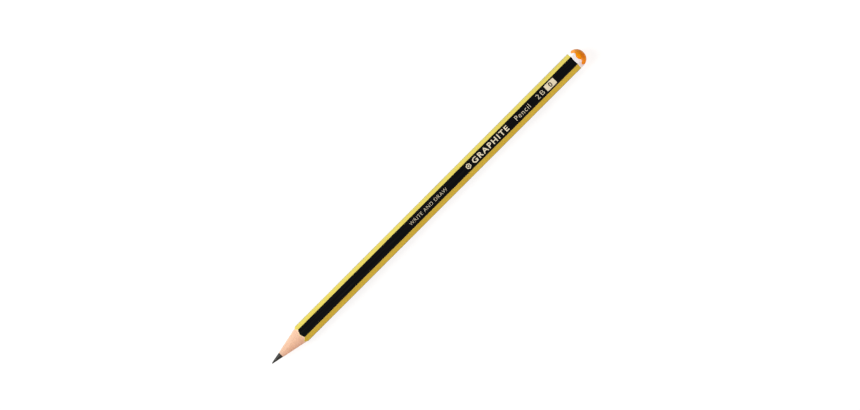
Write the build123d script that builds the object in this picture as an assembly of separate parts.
from build123d import *

import math
import os

# A sharpened six-sided graphite pencil, lying on one flat of its barrel.
#
# The pencil runs along X, with its point at -X and its dipped end at +X. Z is up, and z = 0 is the
# surface that it lies on. The origin is at the bottom centre of its bounding box. Sizes are in
# millimetres.
#
# From the inside out it is a fired graphite core, a film of glue, two grooved wooden slats, six
# stripes of lacquer in two colours, a white dip coat, an orange dip cap and two foil prints.

# ---- driving dimensions ----
TOTAL_LENGTH = 175.0
ACROSS_FLATS = 6.9  # over the lacquer
CORNER_RADIUS = 0.6  # over the lacquer
LACQUER = 0.10

CORE_DIAMETER = 2.2
CORE_OFFSET_Y = -0.08  # the groove is never quite central
GLUE = 0.05

# The sharpener cuts a cone, and a short steeper shoulder where it leaves the lacquer. It held the
# barrel a little off its axis. Slopes are growth of radius for each mm of length.
CONE_SLOPE = 0.21
CONE_OFFSET_Y = -0.10
CONE_OFFSET_Z = -0.08
CONE_APEX_PAST_POINT = 0.75  # how far past the real point the cone in the wood would meet
SHOULDER_SLOPE = 0.6
SHOULDER_RADIUS = 3.53  # radius of the cone where its shoulder starts
EXPOSED_CORE = 4.95
CORE_SLOPE = 0.20
CORE_APEX_PAST_POINT = 1.0  # the same for the graphite, which is rounded over at the point

WHITE_DIP_LENGTH = 5.1  # from the end of the pencil
CAP_DIP_LENGTH = 3.2
WHITE_DIP = 0.04
CAP_DIP = 0.06
KEY = 0.02  # the lacquer is rubbed down by this much where the dips have to hold
WHITE_CROWN = 0.10  # the dips are thicker at the crown of the end than on its sides
CAP_CROWN = 0.30
DOME_DEPTH = 4.2  # how far back the rounding of the end reaches, along the axis
DOME_CROWN = 2.8  # radius of the nearly flat crown, where the rounding starts to turn back
DOME_SHOULDER = 2.2  # how far back of the crown the shoulder is fullest
DOME_CLEARANCE = 0.03  # the dome's widest circle stands this far outside the corners

FOIL = 0.02
SMALL_LINE = (77.8, 98.2, 1.4)  # start and end, as distances from the point, then height
EMBLEM = (109.3, 111.9, 2.4)
LARGE_WORD = (113.0, 132.6, 2.3)
PLAIN_WORD = (137.0, 144.8, 2.0)
GRADE = (148.8, 152.8, 2.0)
GRADE_BOX = (153.9, 159.0, 2.7)

# ---- worked out ----
SIDES = 6
TO_CORNER = 1 / math.cos(math.pi / SIDES)
AXIS_Z = ACROSS_FLATS / 2 + WHITE_DIP + CAP_DIP
POINT_X = -TOTAL_LENGTH / 2
END_X = TOTAL_LENGTH / 2
DIP_X = END_X - WHITE_DIP_LENGTH
CAP_X = END_X - CAP_DIP_LENGTH
WHITE_CROWN_X = END_X - CAP_CROWN
BARE_END_X = WHITE_CROWN_X - WHITE_CROWN
WOOD_START_X = POINT_X + EXPOSED_CORE
CORE_RADIUS = CORE_DIAMETER / 2
WOOD_FLATS = ACROSS_FLATS - 2 * LACQUER
WOOD_CORNER_RADIUS = CORNER_RADIUS - LACQUER
CORNER_REACH = (ACROSS_FLATS / 2 - CORNER_RADIUS) * TO_CORNER + CORNER_RADIUS
FAR = 3 * ACROSS_FLATS  # well outside the barrel
BEFORE_X = POINT_X - FAR
BEYOND_X = END_X + FAR


# ---- shapes that the sub-parts share ----
def across(x):
    """A plane across the pencil at x, with its local x along +Y and its local y along +Z."""
    return Plane(origin=(x, 0, AXIS_Z), x_dir=(0, 1, 0), z_dir=(1, 0, 0))


def hex_bar(flats, corner_radius, start_x, end_x):
    """A six-sided bar with rounded corners and a flat on top and below."""
    outline = RegularPolygon(radius=flats / 2 * TO_CORNER, side_count=SIDES)
    outline = fillet(outline.vertices(), corner_radius)
    return extrude(across(start_x) * outline, end_x - start_x)


def turned(outline, offset_y=0.0, offset_z=0.0):
    """A solid of revolution from a closed outline in (x, radius), beside the barrel's axis."""
    centre = (0, offset_y, AXIS_Z + offset_z)
    face = make_face(Plane(centre, x_dir=(1, 0, 0), z_dir=(0, -1, 0)) * outline)
    return revolve(face, Axis(centre, (1, 0, 0)))


def turned_rod(radius, start_x, end_x, offset_y):
    """A plain round rod along X."""
    corners = [(start_x, 0), (start_x, radius), (end_x, radius), (end_x, 0)]
    return turned(Polyline(*corners, close=True), offset_y)


def ahead_of(x):
    """All the space on the +X side of x."""
    size = BEYOND_X - BEFORE_X
    return Pos(x, 0, AXIS_Z) * Box(size, FAR, FAR, align=(Align.MIN, Align.CENTER, Align.CENTER))


def sharpened_space():
    """Everything inside the sharpener's cone and its shoulder, where there is wood."""
    apex_x = POINT_X - CONE_APEX_PAST_POINT
    shoulder_x = apex_x + SHOULDER_RADIUS / CONE_SLOPE
    open_x = shoulder_x + (FAR - SHOULDER_RADIUS) / SHOULDER_SLOPE
    corners = [(apex_x, 0), (shoulder_x, SHOULDER_RADIUS), (open_x, FAR), (BEYOND_X, FAR), (BEYOND_X, 0)]
    cone = turned(Polyline(*corners, close=True), CONE_OFFSET_Y, CONE_OFFSET_Z)
    return cone & ahead_of(WOOD_START_X)


def rounded_end_space(crown_x, grown):
    """Everything inside the rounding of the end: a blunt dome on a round bar."""
    radius = CORNER_REACH + DOME_CLEARANCE + grown
    side_x = crown_x - DOME_DEPTH
    dome = Bezier((crown_x, 0), (crown_x, DOME_CROWN), (crown_x - DOME_SHOULDER, radius), (side_x, radius))
    sides = Polyline((side_x, radius), (BEFORE_X, radius), (BEFORE_X, 0), (crown_x, 0))
    return turned(dome + sides)


def sixth(middle_deg):
    """The sixth of space round the barrel's axis whose middle is at that angle from +Y."""
    half = 180 / SIDES
    edges = [math.radians(middle_deg + turn) for turn in (-half, half)]
    corners = [(FAR * math.cos(edge), FAR * math.sin(edge)) for edge in edges]
    outline = make_face(Polyline((0, 0), *corners, close=True))
    return extrude(across(BEFORE_X) * outline, BEYOND_X - BEFORE_X)


def sharpened_and_rounded(shape):
    """A length of barrel with its cone and its rounded end."""
    return shape & rounded_end_space(BARE_END_X, 0) & sharpened_space()


def only_solid(shape):
    """The one solid of a result."""
    solids = shape.solids()
    assert len(solids) == 1, f"expected one solid, got {len(solids)}"
    return solids[0]


# ---- sub-parts ----
def graphite_core():
    """The fired rod, with a cone and a small ball at its point."""
    half_angle = math.atan(CORE_SLOPE)
    ball = CORE_APEX_PAST_POINT * math.sin(half_angle) / (1 - math.sin(half_angle))
    centre_x = POINT_X + ball
    shoulder_x = POINT_X - CORE_APEX_PAST_POINT + CORE_RADIUS / CORE_SLOPE

    def on_ball(angle):
        return (centre_x - ball * math.cos(angle), ball * math.sin(angle))

    last = math.pi / 2 - half_angle
    point = ThreePointArc(on_ball(0), on_ball(last / 2), on_ball(last))
    sides = Polyline(
        on_ball(last), (shoulder_x, CORE_RADIUS), (END_X, CORE_RADIUS), (END_X, 0), on_ball(0)
    )
    return only_solid(turned(point + sides, CORE_OFFSET_Y) & rounded_end_space(BARE_END_X, 0))


def wood_bar():
    """The wooden barrel in one piece, sharpened and rounded, without its groove."""
    return sharpened_and_rounded(hex_bar(WOOD_FLATS, WOOD_CORNER_RADIUS, WOOD_START_X, END_X))


def wood_slat(side):
    """The half of the barrel above the glued joint (side = 1) or below it (side = -1)."""
    grooved = wood_bar() - turned_rod(CORE_RADIUS, BEFORE_X, BEYOND_X, CORE_OFFSET_Y)
    height = side * (FAR / 2 + GLUE / 2)
    return only_solid(grooved & Pos(0, 0, height) * ahead_of(WOOD_START_X))


def glue_film():
    """The dried glue between the slats: a flat strip each side, from the core to a side corner."""
    layer = Pos(0, 0, AXIS_Z) * Box(2 * BEYOND_X, FAR, GLUE)
    strips = (wood_bar() & layer) - turned_rod(CORE_RADIUS, BEFORE_X, BEYOND_X, CORE_OFFSET_Y)
    return Compound(strips.solids())


def lacquered_bar(start_x):
    """The barrel over its lacquer, with the length that the dips cover rubbed down."""
    smooth = hex_bar(ACROSS_FLATS, CORNER_RADIUS, start_x, DIP_X)
    return smooth + hex_bar(ACROSS_FLATS - 2 * KEY, CORNER_RADIUS - KEY, DIP_X, END_X)


def lacquer_stripes():
    """One stripe to each flat, from corner to corner, with the two colours in turn."""
    names = {
        90: "lacquer_black_top",
        30: "lacquer_yellow_back",
        -30: "lacquer_black_low_back",
        -90: "lacquer_yellow_bottom",
        -150: "lacquer_black_low_front",
        150: "lacquer_yellow_front",
    }
    wood = hex_bar(WOOD_FLATS, WOOD_CORNER_RADIUS, BEFORE_X, BEYOND_X)
    skin = lacquered_bar(WOOD_START_X) - wood
    return {
        name: only_solid(sharpened_and_rounded(skin & sixth(angle))) for angle, name in names.items()
    }


def dipped_space(start_x, crown_x, thickness):
    """The space inside a dip coat's outer surface."""
    bar = hex_bar(ACROSS_FLATS + 2 * thickness, CORNER_RADIUS + thickness, start_x, END_X)
    return bar & rounded_end_space(crown_x, thickness)


def white_dip_coat():
    """The white coat, a thin cup over the rounded end of the barrel."""
    barrel = lacquered_bar(BEFORE_X) & rounded_end_space(BARE_END_X, 0)
    return only_solid(dipped_space(DIP_X, WHITE_CROWN_X, WHITE_DIP) - barrel)


def orange_dip_cap():
    """The orange coat over the white one. It leaves a ring of white showing."""
    white = dipped_space(DIP_X, WHITE_CROWN_X, WHITE_DIP)
    return only_solid(dipped_space(CAP_X, END_X, WHITE_DIP + CAP_DIP) - white)


def foil_area(start, end, height):
    """The area that a print takes up on the top flat."""
    film = Box(end - start, height, FOIL, align=(Align.MIN, Align.CENTER, Align.MIN))
    return Pos(POINT_X + start, 0, AXIS_Z + ACROSS_FLATS / 2) * film


def foil_words():
    """The areas of the small line, the emblem, the two words and the grade."""
    return Compound([foil_area(*area) for area in (SMALL_LINE, EMBLEM, LARGE_WORD, PLAIN_WORD, GRADE)])


def main():
    parts = {
        "graphite_core": graphite_core(),
        "glue_film": glue_film(),
        "wood_slat_upper": wood_slat(1),
        "wood_slat_lower": wood_slat(-1),
        **lacquer_stripes(),
        "white_dip_coat": white_dip_coat(),
        "orange_dip_cap": orange_dip_cap(),
        "foil_words": foil_words(),
        "foil_grade_box": foil_area(*GRADE_BOX),
    }
    os.makedirs("parts", exist_ok=True)
    for name, shape in parts.items():
        export_step(shape, f"parts/{name}.step")
        print(name, "volume", round(shape.volume, 2), "mm3")


main()
